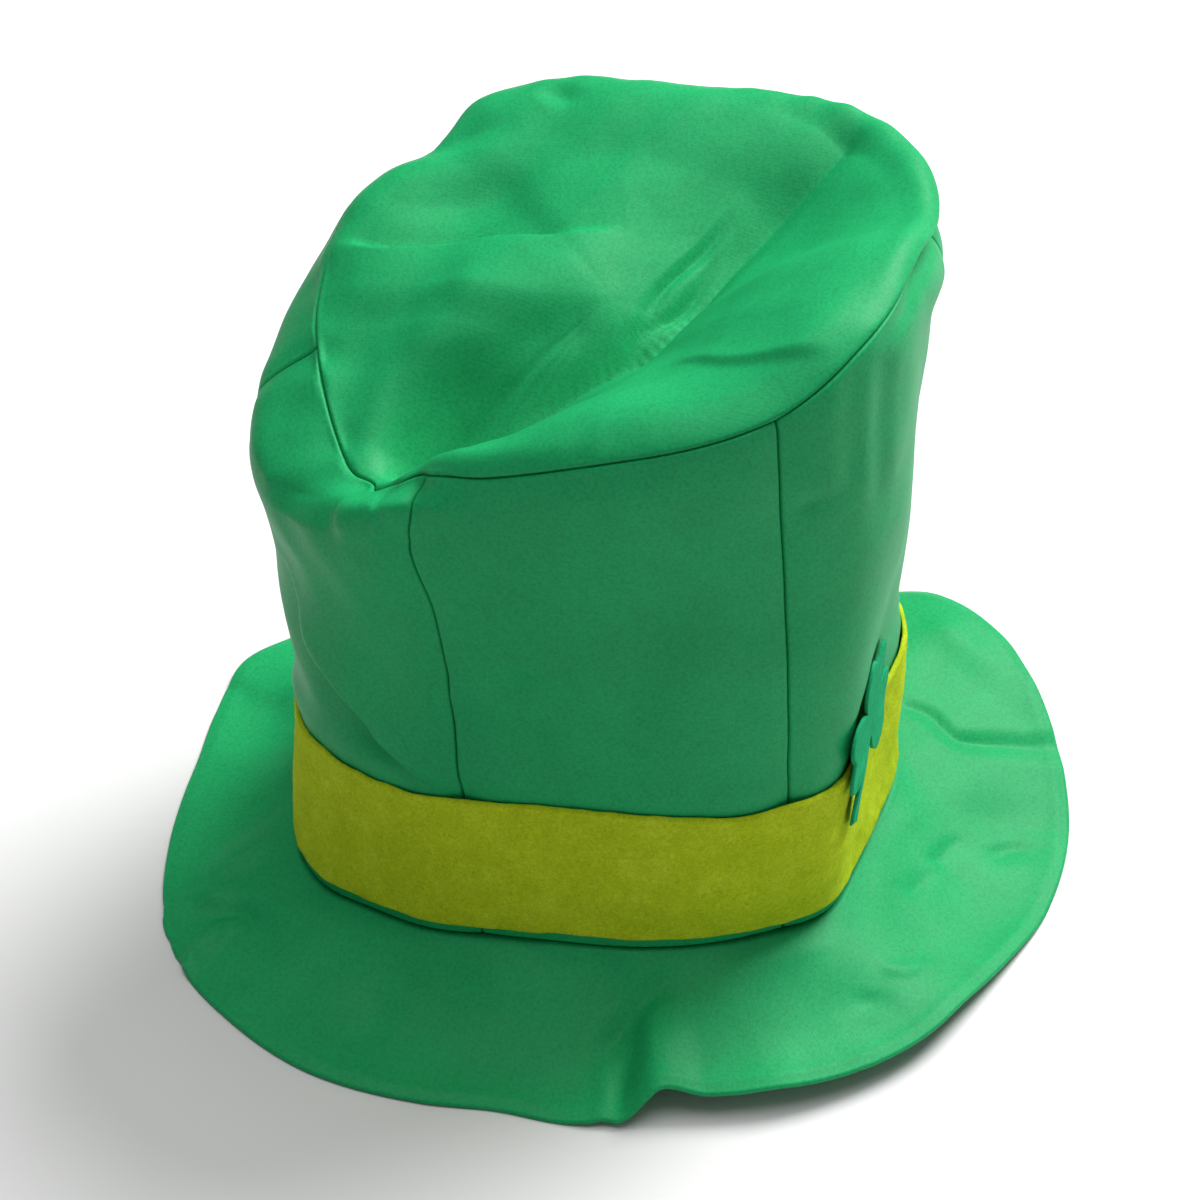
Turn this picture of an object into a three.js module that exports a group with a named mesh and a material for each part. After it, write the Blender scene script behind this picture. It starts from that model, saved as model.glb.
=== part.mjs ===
// Leprechaun hat in millimetres, +Z up, worn facing -Y: a tall soft crown of sewn side panels
// under a crumpled tip, a drooping brim, a felt band and a felt shamrock on the band's front.
// Every cloth piece is one closed sheet of the cloth's thickness, open below where the head goes in.
import * as THREE from "three";

// Driving sizes
const HEAD_LONG = 196; // outside of the crown's foot, front to back
const HEAD_WIDE = 172; // outside of the crown's foot, side to side
const HEAD_SQUARENESS = 2.7; // exponent of the foot's rounded outline, 2 is an ellipse
const CROWN_HEIGHT = 228; // from the mean foot to the level that the height shares are of
const CROWN_DROP = 24; // mean height of the crown's foot over the surface that the brim lies on
const BRIM_WIDTH = 60; // from the crown's foot to the brim's edge
const BAND_HEIGHT = 57;
const BAND_LIFT = 5; // strip of crown that shows below the band
const SHAMROCK_REACH = 27; // from the shamrock's middle to the round of a leaf
const STEM_REACH = 37; // from the shamrock's middle to the end of its stem
const STEM_WIDTH = 6;
const CLOTH = 2.5; // knit bonded to thin foam
const FELT = 2;
const GAP = 0.3; // between pieces that touch
const SHAMROCK_GAP = 0.5; // the stiff shamrock stands a little off the band
const SEAM_DIP = 0.8; // how far a seam pulls the cloth in
const SEAM_REACH = 5; // how far beside a seam that is felt
const TIP_PUFF = 7; // how far the tip's cloth swells just inside its seam
const VALLEY_DEPTH = 23; // of the tip's one deep fold
const CREASE_DEPTH = 5; // of the small folds

// Numbers of copies and of mesh cells
const PANELS = 6;
const PANEL_CELLS = 11;
const BAND_CELLS = 4;
const BRIM_CELLS = 78;
const LEAF_CELLS = 13;

// Angles, in degrees round the hat, from its front towards the wearer's right
const FULL_TURN = 360;
const FIRST_SEAM_ANGLE = 38;
const SEAM_LEAN_ANGLES = [7, 10, 6, 0, -2, 4]; // how far each seam has moved round at the rim
const SHAMROCK_ANGLE = 13;
const SHAMROCK_LEAN_ANGLE = 12; // its top leans towards the wearer's left

// Shares
const SHAMROCK_UP_SHARE = 1.12; // height of its middle over the band's foot, of BAND_HEIGHT
const TIP_MIDDLE_SHARE = 0.95; // height of the tip's middle, of CROWN_HEIGHT
const PUFF_SHARE = 0.45; // of the way to the tip's middle, where its swelling has died out
const PUFF_PEAK = 27 / 4; // brings the top of q (1 - q)^2 to 1
const BRIM_LANDING_SHARE = 0.88; // of the brim's width, where its fall ends
const BRIM_FALL_CURVE = 1.6; // exponent of that fall, 1 is straight
const SIDE_FOLDS_START = 0.08; // share of the side above the band's top where its folds are whole
const TIP_FOLDS_START = 0.15; // share of the way to the middle
const BRIM_FOLDS_START = 0.2; // share of the brim's width

// Turns rows of numbers into objects with the columns' names.
function table(columns, rows) {
  const names = columns.trim().split(/\s+/);
  return rows.map((row) => Object.fromEntries(names.map((name, i) => [name, row[i]])));
}

// The crown by angle. Radii are shares of the foot outline's radius, and band is the one at the
// band's top. footUp is a share of CROWN_DROP over the surface, the other heights are shares of
// CROWN_HEIGHT over the mean foot, and puff is a share of TIP_PUFF.
const CROWN = table("at footUp foot band waist shoulder shoulderUp rim rimUp puff", [
  [0, 1.0, 0.942, 0.935, 0.98, 1.01, 0.97, 0.99, 1.05, 0.6],
  [14, 1.07, 0.95, 0.935, 0.985, 1.01, 0.97, 0.99, 1.048, 0.74],
  [28, 1.14, 0.955, 0.98, 0.995, 1.005, 0.96, 0.99, 1.03, 0.9],
  [45, 1.2, 0.95, 1.0, 1.0, 1.0, 0.93, 0.99, 0.98, 1.0],
  [75, 1.15, 0.98, 0.99, 1.0, 1.02, 0.85, 1.01, 0.9, 1.2],
  [100, 1.05, 1.01, 1.01, 1.01, 1.03, 0.78, 1.0, 0.835, 1.2],
  [114, 0.9, 1.03, 1.03, 1.02, 1.03, 0.74, 0.96, 0.79, 1.1],
  [128, 0.75, 1.03, 1.03, 1.03, 1.05, 0.69, 0.88, 0.74, 0.2],
  [140, 0.62, 1.03, 1.03, 1.05, 1.08, 0.69, 0.88, 0.745, 0.0],
  [155, 0.55, 1.05, 1.05, 1.09, 1.13, 0.71, 0.94, 0.785, 0.0],
  [175, 0.6, 1.06, 1.06, 1.11, 1.13, 0.75, 0.98, 0.835, 0.5],
  [195, 0.65, 1.04, 1.04, 1.04, 1.1, 0.8, 1.02, 0.88, 1.2],
  [215, 0.8, 1.0, 1.0, 1.0, 1.05, 0.87, 0.98, 0.92, 0.9],
  [228, 0.9, 1.0, 1.0, 1.0, 1.04, 0.91, 1.03, 0.965, 0.8],
  [245, 1.0, 1.0, 1.0, 1.0, 1.03, 0.94, 1.03, 0.995, 0.8],
  [270, 1.0, 1.0, 1.0, 1.0, 1.02, 0.95, 1.02, 1.01, 0.8],
  [300, 1.0, 1.0, 1.0, 0.99, 1.0, 0.97, 1.03, 1.03, 0.7],
  [325, 1.0, 0.995, 0.985, 0.97, 0.985, 0.97, 1.01, 1.035, 0.6],
  [345, 1.0, 0.965, 0.94, 0.965, 1.01, 0.97, 1.01, 1.03, 0.5],
]);

// The brim's edge by angle: out is a share of BRIM_WIDTH beyond the crown's foot, up a share of
// CROWN_DROP over the surface.
const BRIM = table("at out up", [
  [0, 1.02, 0.0],
  [12, 0.95, 0.2],
  [25, 0.87, 0.4],
  [45, 0.88, 0.42],
  [60, 0.84, 0.42],
  [67, 0.82, 0.4],
  [73, 0.9, 0.02],
  [80, 0.92, 0.0],
  [90, 0.9, 0.0],
  [100, 0.96, 0.0],
  [115, 1.0, 0.0],
  [130, 0.97, 0.0],
  [148, 0.9, 0.0],
  [160, 0.82, 0.0],
  [175, 0.81, 0.0],
  [186, 0.86, 0.0],
  [196, 0.95, 0.1],
  [205, 0.85, 0.1],
  [225, 0.9, 0.0],
  [250, 0.95, 0.0],
  [275, 0.8, 0.0],
  [289, 0.87, 0.2],
  [303, 1.05, 0.95],
  [316, 1.06, 0.85],
  [331, 1.03, 0.4],
  [346, 1.03, 0.0],
]);

// Folds. Each follows a path and fades over its reach to the left and right of the way the path
// runs. Its depth is below the cloth where it is negative, crisp is 1 for a sharp crease and 0
// for a soft hollow, and the third number of a path's point is that point's share of the depth.

// In the tip: paths and reaches are shares of half the foot's size, seen from above, -Y forward.
const TIP_FOLDS = [
  { depth: -VALLEY_DEPTH, crisp: 0.3, left: 0.3, right: 0.85,
    path: [[1.13, -0.54, 0.2], [0.78, -0.45, 0.5], [0.49, -0.38, 0.6], [0.08, -0.28, 0.8],
      [-0.33, -0.04, 1.0], [-0.53, 0.16, 1.1], [-0.6, 0.42, 0.9], [-0.73, 0.63, 0.3]] },
  { depth: -CREASE_DEPTH, crisp: 0.8, left: 0.4, right: 0.12,
    path: [[0.05, 1.0, 0.3], [0.07, 0.79, 0.8], [0.07, 0.63, 1.0], [0.16, 0.42, 0.9], [0.26, 0.11, 0.2]] },
];

// In the side: paths run in degrees and shares of CROWN_HEIGHT over the mean foot.
const SIDE_FOLDS = [
  { depth: CREASE_DEPTH, crisp: 0.3, left: 0.05, right: 0.12,
    path: [[108, 0.74, 0.0], [116, 0.73, 0.8], [128, 0.69, 1.0], [142, 0.69, 0.6], [158, 0.7, 0.0]] },
  { depth: -CREASE_DEPTH, crisp: 0.5, left: 0.1, right: 0.06,
    path: [[150, 0.52, 0.0], [137, 0.44, 0.6], [124, 0.37, 0.6], [112, 0.3, 0.2]] },
  { depth: -CREASE_DEPTH, crisp: 0.2, left: 0.08, right: 0.08,
    path: [[217, 0.97, 0.9], [216, 0.85, 0.8], [214, 0.65, 0.0]] },
  { depth: -CREASE_DEPTH, crisp: 0.2, left: 0.1, right: 0.1,
    path: [[62, 0.72, 0.0], [68, 0.55, 0.5], [72, 0.4, 0.0]] },
  { depth: -CREASE_DEPTH, crisp: 0.2, left: 0.1, right: 0.1,
    path: [[280, 0.8, 0.0], [288, 0.6, 0.6], [292, 0.42, 0.0]] },
];

// In the brim: paths run in degrees and shares of BRIM_WIDTH out from the crown's foot.
const BRIM_FOLDS = [
  { depth: CREASE_DEPTH, crisp: 0.6, left: 0.25, right: 0.5,
    path: [[66, 0.3, 0.0], [68, 0.7, 0.7], [69, 1.0, 1.0]] },
  { depth: -CREASE_DEPTH, crisp: 0.7, left: 0.2, right: 0.2,
    path: [[146, 0.9, 0.6], [141, 0.55, 0.5], [136, 0.35, 0.0]] },
  { depth: -CREASE_DEPTH, crisp: 0.4, left: 0.3, right: 0.3,
    path: [[186, 1.0, 0.8], [183, 0.5, 0.5], [180, 0.2, 0.0]] },
  { depth: -CREASE_DEPTH, crisp: 0.5, left: 0.25, right: 0.25,
    path: [[322, 1.0, 0.7], [328, 0.6, 0.5], [336, 0.2, 0.0]] },
];

const RADIAN = Math.PI / 180;
const mix = THREE.MathUtils.lerp;
const smoothstep = THREE.MathUtils.smoothstep;

// One cubic piece between two values with the slopes at its ends.
function cubic(from, to, slopeFrom, slopeTo, length, share) {
  const s2 = share * share;
  const s3 = s2 * share;
  return (
    from * (2 * s3 - 3 * s2 + 1) +
    to * (3 * s2 - 2 * s3) +
    length * (slopeFrom * (s3 - 2 * s2 + share) + slopeTo * (s3 - s2))
  );
}

const wholeTurn = (angle) => THREE.MathUtils.euclideanModulo(angle, FULL_TURN);

// A column of a table that goes round the hat, smooth at every angle.
function around(rows, column, angle) {
  const turn = wholeTurn(angle);
  let next = rows.findIndex((row) => row.at > turn);
  if (next < 0) next = rows.length;
  const row = (i) => {
    const lap = Math.floor(i / rows.length);
    const source = rows[i - lap * rows.length];
    return { at: source.at + FULL_TURN * lap, value: source[column] };
  };
  const [before, from, to, after] = [next - 2, next - 1, next, next + 1].map(row);
  const length = to.at - from.at;
  return cubic(
    from.value,
    to.value,
    (to.value - before.value) / (to.at - before.at),
    (after.value - from.value) / (after.at - from.at),
    length,
    (turn - from.at) / length,
  );
}

// A smooth line through values at knots from 0 to 1.
function along(knots, values, share) {
  let i = 0;
  while (i < knots.length - 2 && share > knots[i + 1]) i += 1;
  const slope = (a, b) => (values[b] - values[a]) / (knots[b] - knots[a]);
  const last = knots.length - 1;
  return cubic(
    values[i],
    values[i + 1],
    slope(Math.max(i - 1, 0), i + 1),
    slope(i, Math.min(i + 2, last)),
    knots[i + 1] - knots[i],
    (share - knots[i]) / (knots[i + 1] - knots[i]),
  );
}

// How much a list of folds lifts the cloth at a point. toPlace turns a path's point into mm.
function foldLift(folds, unit, toPlace, x, y) {
  let lift = 0;
  for (const fold of folds) {
    let nearest = { distance: Infinity, side: 1, share: 0 };
    for (let i = 0; i + 1 < fold.path.length; i += 1) {
      const [ax, ay] = toPlace(fold.path[i]);
      const [bx, by] = toPlace(fold.path[i + 1]);
      const [dx, dy] = [bx - ax, by - ay];
      const s = THREE.MathUtils.clamp(((x - ax) * dx + (y - ay) * dy) / (dx * dx + dy * dy), 0, 1);
      const [px, py] = [x - ax - s * dx, y - ay - s * dy];
      const distance = Math.hypot(px, py);
      if (distance < nearest.distance) {
        const share = mix(fold.path[i][2], fold.path[i + 1][2], s);
        nearest = { distance, side: dx * py - dy * px, share };
      }
    }
    const reach = (nearest.side > 0 ? fold.left : fold.right) * unit;
    const q = nearest.distance / reach;
    if (q < 1) {
      const sharp = (1 - q) ** 2;
      const soft = Math.cos((q * Math.PI) / 2) ** 2;
      lift += fold.depth * nearest.share * mix(soft, sharp, fold.crisp);
    }
  }
  return lift;
}

// Radius of the crown's foot outline at an angle.
function outline(angle) {
  const across = Math.abs(Math.sin(angle * RADIAN) / (HEAD_WIDE / 2)) ** HEAD_SQUARENESS;
  const forward = Math.abs(Math.cos(angle * RADIAN) / (HEAD_LONG / 2)) ** HEAD_SQUARENESS;
  return (across + forward) ** (-1 / HEAD_SQUARENESS);
}

// A point at an angle and a radius from the hat's upright middle line.
function polar(angle, radius, height) {
  return new THREE.Vector3(
    -Math.sin(angle * RADIAN) * radius,
    -Math.cos(angle * RADIAN) * radius,
    height,
  );
}

const footRadius = (angle) => around(CROWN, "foot", angle) * outline(angle);
const footHeight = (angle) => around(CROWN, "footUp", angle) * CROWN_DROP;
const crownHeight = (share) => CROWN_DROP + share * CROWN_HEIGHT;

// The seams start at equal lengths of the foot's outline.
function equalArcs(count, start) {
  const steps = 720;
  const step = FULL_TURN / steps;
  const lengths = [0];
  for (let i = 1; i <= steps; i += 1) {
    const from = polar(start + (i - 1) * step, footRadius(start + (i - 1) * step), 0);
    const to = polar(start + i * step, footRadius(start + i * step), 0);
    lengths.push(lengths[i - 1] + from.distanceTo(to));
  }
  return Array.from({ length: count }, (_, k) => {
    const wanted = (k * lengths[steps]) / count;
    const i = Math.max(1, lengths.findIndex((length) => length >= wanted));
    const share = (wanted - lengths[i - 1]) / (lengths[i] - lengths[i - 1]);
    return start + (i - 1 + share) * step;
  });
}

const SEAM_FEET = equalArcs(PANELS, FIRST_SEAM_ANGLE);
function seamAngle(k, share) {
  const lap = Math.floor(k / PANELS);
  const i = k - lap * PANELS;
  const lean = SEAM_LEAN_ANGLES[i % SEAM_LEAN_ANGLES.length];
  return SEAM_FEET[i] + FULL_TURN * lap + lean * share;
}

// Distance round the crown from an angle to the nearest seam.
function seamDistance(angle, share, radius) {
  const apart = SEAM_FEET.map((_, k) => {
    const turn = wholeTurn(angle - seamAngle(k, share));
    return Math.min(turn, FULL_TURN - turn);
  });
  return Math.min(...apart) * RADIAN * radius;
}

// Shares of the side's cloth, from foot to rim, at the stations of the CROWN table.
const SIDE_KNOTS = [0, 0.27, 0.55, 0.9, 1];

// The side's outer face without its seams: share runs from 0 at the foot to 1 at the rim.
function plainSide(angle, share) {
  const radius = outline(angle);
  const radii = ["foot", "band", "waist", "shoulder", "rim"].map(
    (name) => around(CROWN, name, angle) * radius,
  );
  const bandTop = footHeight(angle) + BAND_LIFT + BAND_HEIGHT;
  const shoulderHeight = crownHeight(around(CROWN, "shoulderUp", angle));
  const rimHeight = crownHeight(around(CROWN, "rimUp", angle));
  const heights = [
    footHeight(angle),
    bandTop,
    (bandTop + shoulderHeight) / 2,
    shoulderHeight,
    rimHeight,
  ];
  const height = along(SIDE_KNOTS, heights, share);
  const meanRadius = (HEAD_LONG + HEAD_WIDE) / 4;
  const folds = foldLift(
    SIDE_FOLDS,
    CROWN_HEIGHT,
    ([at, up]) => [at * RADIAN * meanRadius, up * CROWN_HEIGHT],
    wholeTurn(angle) * RADIAN * meanRadius,
    height - CROWN_DROP,
  );
  const free = smoothstep(share, SIDE_KNOTS[1], SIDE_KNOTS[1] + SIDE_FOLDS_START);
  const out = along(SIDE_KNOTS, radii, share) + folds * free;
  return polar(angle, out, height);
}

function side(angle, share) {
  const point = plainSide(angle, share);
  const radius = Math.hypot(point.x, point.y);
  const dip = SEAM_DIP * Math.exp(-((seamDistance(angle, share, radius) / SEAM_REACH) ** 2));
  return polar(angle, radius - dip, point.z);
}

// The tip's outer face: share runs from 0 at the rim to 1 at its middle.
function tip(angle, share) {
  const rim = side(angle, 1);
  const [x, y] = [rim.x * (1 - share), rim.y * (1 - share)];
  const q = share / PUFF_SHARE;
  const swell = q < 1 ? PUFF_PEAK * q * (1 - q) ** 2 : 0;
  const puff = swell * around(CROWN, "puff", angle) * TIP_PUFF;
  const folds = foldLift(
    TIP_FOLDS,
    HEAD_WIDE / 2,
    ([across, back]) => [(across * HEAD_WIDE) / 2, (back * HEAD_LONG) / 2],
    x,
    y,
  );
  const level = mix(rim.z, crownHeight(TIP_MIDDLE_SHARE), smoothstep(share, 0, 1));
  const height = level + puff + folds * smoothstep(share, 0, TIP_FOLDS_START);
  return new THREE.Vector3(x, y, height);
}

// The whole outer face of the crown, 0 to 1 up the side and 1 to 2 over the tip.
const shell = (angle, share) => (share <= 1 ? side(angle, share) : tip(angle, share - 1));
const plainShell = (angle, share) => plainSide(angle, Math.min(share, 1));

// The way out of a surface, the same for both pieces at a seam because it looks to both sides.
function wayOut(surface, angle, share) {
  const turn = 0.6;
  const step = 0.012;
  const round = surface(angle + turn, share).sub(surface(angle - turn, share));
  const here = surface(angle, share);
  const before = here.clone().sub(surface(angle, Math.max(share - step, 0)));
  const after = surface(angle, share + step).sub(here);
  return before.normalize().add(after.normalize()).cross(round).normalize();
}

// Joins an outer and an inner grid of points into one closed sheet. Rows go up or inwards,
// columns go with the angle. A ring closes on itself, and a last row of one point is a pole.
function sheetGeometry(outer, inner, ring) {
  const points = [...outer.flat(), ...inner.flat()];
  const starts = [];
  let count = 0;
  for (const row of [...outer, ...inner]) {
    starts.push(count);
    count += row.length;
  }
  const rows = outer.length;
  const columns = outer[0].length;
  const vertex = (face, i, j) => {
    const size = outer[i].length;
    return starts[face * rows + i] + (size === 1 ? 0 : ring ? j % size : j);
  };
  const index = [];
  const quad = (a, b, c, d) => {
    if (a !== b) index.push(a, b, c);
    if (c !== d) index.push(a, c, d);
  };
  const spans = ring ? columns : columns - 1;
  for (let j = 0; j < spans; j += 1) {
    for (let i = 0; i + 1 < rows; i += 1) {
      quad(vertex(0, i, j), vertex(0, i + 1, j), vertex(0, i + 1, j + 1), vertex(0, i, j + 1));
      quad(vertex(1, i, j + 1), vertex(1, i + 1, j + 1), vertex(1, i + 1, j), vertex(1, i, j));
    }
    quad(vertex(1, 0, j), vertex(0, 0, j), vertex(0, 0, j + 1), vertex(1, 0, j + 1));
    const top = rows - 1;
    if (outer[top].length > 1)
      quad(vertex(1, top, j), vertex(1, top, j + 1), vertex(0, top, j + 1), vertex(0, top, j));
  }
  for (let i = 0; i + 1 < rows && !ring; i += 1) {
    const end = columns - 1;
    quad(vertex(1, i, 0), vertex(1, i + 1, 0), vertex(0, i + 1, 0), vertex(0, i, 0));
    quad(vertex(0, i + 1, end), vertex(1, i + 1, end), vertex(1, i, end), vertex(0, i, end));
  }
  const geometry = new THREE.BufferGeometry();
  geometry.setAttribute(
    "position",
    new THREE.Float32BufferAttribute(points.flatMap((point) => point.toArray()), 3),
  );
  geometry.setIndex(index);
  geometry.computeVertexNormals();
  return geometry;
}

const shares = (cells) => Array.from({ length: cells + 1 }, (_, i) => i / cells);
const ringShares = (cells) => shares(cells).slice(0, cells);
const ringAngles = (cells) => ringShares(cells).map((s) => s * FULL_TURN);

// The angles of the side's cells at a share of its height. The tip's and the band's cells follow
// them one to one.
const cellAngles = (share) =>
  SEAM_FEET.flatMap((_, k) =>
    ringShares(PANEL_CELLS).map((s) => mix(seamAngle(k, share), seamAngle(k + 1, share), s)),
  );

// Rows of the side's mesh, closer where the shoulder bends.
const SIDE_ROWS = [0, 0.09, 0.18, 0.27, 0.36, 0.45, 0.54, 0.62, 0.7, 0.77, 0.83, 0.88, 0.94, 1];
const TIP_ROWS = [0, 0.05, 0.11, 0.18, 0.27, 0.37, 0.48, 0.6, 0.72, 0.86];

// One side panel between two seams. Its cut edges stand square to the seam's own middle line.
function panelGeometry(k) {
  const half = GAP / 2;
  const seamTurn = half / (outline(seamAngle(k, 0)) * RADIAN);
  const topShare = 1 - half / CROWN_HEIGHT;
  const outer = [];
  const inner = [];
  for (const row of SIDE_ROWS) {
    const share = row * topShare;
    const from = seamAngle(k, share);
    const to = seamAngle(k + 1, share);
    const points = shares(PANEL_CELLS).map((s) => {
      const angle = mix(from, to, s);
      const edge = s === 0 ? seamTurn : s === 1 ? -seamTurn : 0;
      const point = shell(angle + edge, share);
      const out = wayOut(shell, angle, row === 1 ? 1 : share);
      return [point, point.clone().addScaledVector(out, -CLOTH)];
    });
    outer.push(points.map(([face]) => face));
    inner.push(points.map(([, back]) => back));
  }
  return sheetGeometry(outer, inner, false);
}

// The tip inside its seam.
function tipGeometry() {
  const outer = [];
  const inner = [];
  const start = GAP / HEAD_WIDE;
  for (const row of TIP_ROWS) {
    const share = 1 + mix(start, 1, row);
    const points = cellAngles(1).map((angle) => {
      const point = shell(angle, share);
      const out = wayOut(shell, angle, row === 0 ? 1 : share);
      return [point, point.clone().addScaledVector(out, -CLOTH)];
    });
    outer.push(points.map(([face]) => face));
    inner.push(points.map(([, back]) => back));
  }
  const middle = shell(0, 2);
  outer.push([middle]);
  inner.push([middle.clone().setZ(middle.z - CLOTH)]);
  return sheetGeometry(outer, inner, true);
}

// The brim lies under the side's cut edge, falls away from it and comes level on the surface.
const BRIM_ROWS = [1, 0.88, 0.66, 0.42, 0.2, 0];
function brimTop(angle, share) {
  const foot = footRadius(angle);
  const out = around(BRIM, "out", angle) * BRIM_WIDTH;
  const edge = Math.max(around(BRIM, "up", angle), 0) * CROWN_DROP + CLOTH;
  const fall = 1 - (1 - Math.min(share / BRIM_LANDING_SHARE, 1)) ** BRIM_FALL_CURVE;
  const meanRadius = (HEAD_LONG + HEAD_WIDE) / 4 + BRIM_WIDTH / 2;
  const folds = foldLift(
    BRIM_FOLDS,
    BRIM_WIDTH,
    ([at, away]) => [at * RADIAN * meanRadius, away * BRIM_WIDTH],
    wholeTurn(angle) * RADIAN * meanRadius,
    share * BRIM_WIDTH,
  );
  const fallen = mix(footHeight(angle) - GAP, edge, fall);
  const height = fallen + folds * smoothstep(share, 0, BRIM_FOLDS_START);
  return polar(angle, foot + share * out, Math.max(height, CLOTH));
}

function brimGeometry() {
  const angles = ringAngles(BRIM_CELLS);
  const under = (point) => point.clone().setZ(Math.max(point.z - CLOTH, 0));
  const outer = BRIM_ROWS.map((share) => angles.map((angle) => brimTop(angle, share)));
  outer.push(
    angles.map((angle) => polar(angle, footRadius(angle) - CLOTH, footHeight(angle) - GAP)),
  );
  return sheetGeometry(outer, outer.map((row) => row.map(under)), true);
}

// The band goes round the side's foot over the seams.
function bandGeometry() {
  const low = (SIDE_KNOTS[1] * BAND_LIFT) / (BAND_LIFT + BAND_HEIGHT);
  const rows = shares(BAND_CELLS).map((s) => mix(low, SIDE_KNOTS[1], s));
  const layer = (proud) =>
    rows.map((share) =>
      cellAngles(share).map((angle) =>
        plainShell(angle, share).addScaledVector(wayOut(plainShell, angle, share), proud),
      ),
    );
  return sheetGeometry(layer(GAP + FELT), layer(GAP), true);
}

// A point in front of the side at a height over the foot, standing proud of the cloth.
const HALVINGS = 24;
function overSide(angle, rise, proud) {
  let low = 0;
  let high = 1;
  for (let i = 0; i < HALVINGS; i += 1) {
    const middle = (low + high) / 2;
    if (plainShell(angle, middle).z - footHeight(angle) < rise) low = middle;
    else high = middle;
  }
  return plainShell(angle, low).addScaledVector(wayOut(plainShell, angle, low), proud);
}

// Half a leaf: degrees from the leaf's middle line and its reach there, of SHAMROCK_REACH.
const HALF_LEAF = table("turn reach", [
  [0, 0.82],
  [12, 0.95],
  [24, 1.0],
  [36, 0.87],
  [45, 0.64],
  [52, 0.46],
]);
function leafReach(turn) {
  const knots = HALF_LEAF.map((row) => row.turn);
  return along(knots, HALF_LEAF.map((row) => row.reach), Math.abs(turn)) * SHAMROCK_REACH;
}

// The shamrock's outline as points round its middle: three notched leaves and a stem.
const LEAF_ANGLES = [345, 450, 555];
const STEM_ANGLE = 652;
const SHAMROCK_ROWS = [1, 0.8, 0.6, 0.4, 0.2]; // rings of its mesh, from the edge inwards
function shamrockOutline() {
  const leafSpan = HALF_LEAF[HALF_LEAF.length - 1].turn;
  const points = [];
  for (const leaf of LEAF_ANGLES)
    for (const s of shares(LEAF_CELLS)) {
      const turn = mix(-leafSpan, leafSpan, s);
      points.push([leaf + turn, leafReach(turn)]);
    }
  const stemTurn = Math.atan2(STEM_WIDTH / 2, STEM_REACH) / RADIAN;
  points.push([STEM_ANGLE - stemTurn, STEM_REACH], [STEM_ANGLE + stemTurn, STEM_REACH]);
  return points;
}

function shamrockGeometry() {
  const middle = BAND_LIFT + SHAMROCK_UP_SHARE * BAND_HEIGHT;
  const radius = footRadius(SHAMROCK_ANGLE);
  const place = ([turn, reach], share, proud) => {
    const direction = (turn + SHAMROCK_LEAN_ANGLE) * RADIAN;
    const sideways = Math.atan2(Math.cos(direction) * reach * share, radius) / RADIAN;
    const rise = middle + Math.sin(direction) * reach * share;
    return overSide(SHAMROCK_ANGLE + sideways, rise, proud);
  };
  const points = shamrockOutline();
  const layer = (proud) => [
    ...SHAMROCK_ROWS.map((share) => points.map((point) => place(point, share, proud))),
    [place([0, 0], 0, proud)],
  ];
  const back = GAP + FELT + SHAMROCK_GAP;
  return sheetGeometry(layer(back + FELT), layer(back), true);
}

// Materials, by what the real ones are
const cloth = (colour) =>
  new THREE.MeshStandardMaterial({ color: colour, roughness: 0.55, metalness: 0 });
const felt = (colour) =>
  new THREE.MeshStandardMaterial({ color: colour, roughness: 0.95, metalness: 0 });
const KNIT_GREEN = 0x24a05a;
const BAND_YELLOW = 0x9fae1e;
const SHAMROCK_GREEN = 0x149058;

function piece(name, geometry, material) {
  const mesh = new THREE.Mesh(geometry, material);
  mesh.name = name;
  return mesh;
}

const hat = new THREE.Group();
for (let k = 0; k < PANELS; k += 1)
  hat.add(piece(`side_panel_${k + 1}`, panelGeometry(k), cloth(KNIT_GREEN)));
hat.add(piece("crown_tip", tipGeometry(), cloth(KNIT_GREEN)));
hat.add(piece("brim", brimGeometry(), cloth(KNIT_GREEN)));
hat.add(piece("hat_band", bandGeometry(), felt(BAND_YELLOW)));
hat.add(piece("shamrock", shamrockGeometry(), felt(SHAMROCK_GREEN)));

// The origin is under the middle of the whole hat, on the surface that it lies on.
const extent = new THREE.Box3().setFromObject(hat);
const centre = extent.getCenter(new THREE.Vector3());
hat.position.set(-centre.x, -centre.y, -extent.min.z);

export default hat;
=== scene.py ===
import math

import bpy
import numpy as np
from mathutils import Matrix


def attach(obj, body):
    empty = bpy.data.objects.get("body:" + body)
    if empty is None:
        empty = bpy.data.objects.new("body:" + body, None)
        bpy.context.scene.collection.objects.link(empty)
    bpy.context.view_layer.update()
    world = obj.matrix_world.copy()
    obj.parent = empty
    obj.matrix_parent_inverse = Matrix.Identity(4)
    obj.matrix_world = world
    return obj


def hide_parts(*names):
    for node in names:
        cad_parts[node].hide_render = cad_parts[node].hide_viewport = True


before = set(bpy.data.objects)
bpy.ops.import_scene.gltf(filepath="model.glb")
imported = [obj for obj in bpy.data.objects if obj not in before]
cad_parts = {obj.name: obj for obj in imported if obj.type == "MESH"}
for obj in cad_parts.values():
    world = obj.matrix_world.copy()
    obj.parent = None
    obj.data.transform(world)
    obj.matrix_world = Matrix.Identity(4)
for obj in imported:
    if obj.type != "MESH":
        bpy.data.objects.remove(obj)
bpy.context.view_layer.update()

# Sizes of the hat in millimetres, and angles in degrees round it, from its front towards the
# wearer's right. Points are worked out from the upright middle line of the head.
MM = 0.001
MIDDLE = np.array([2.18, -0.77, 0.0])
HEAD_LONG, HEAD_WIDE, HEAD_SQUARENESS = 196, 172, 2.7
CROWN_HEIGHT, CROWN_DROP = 228, 24
BRIM_WIDTH = 60
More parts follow.
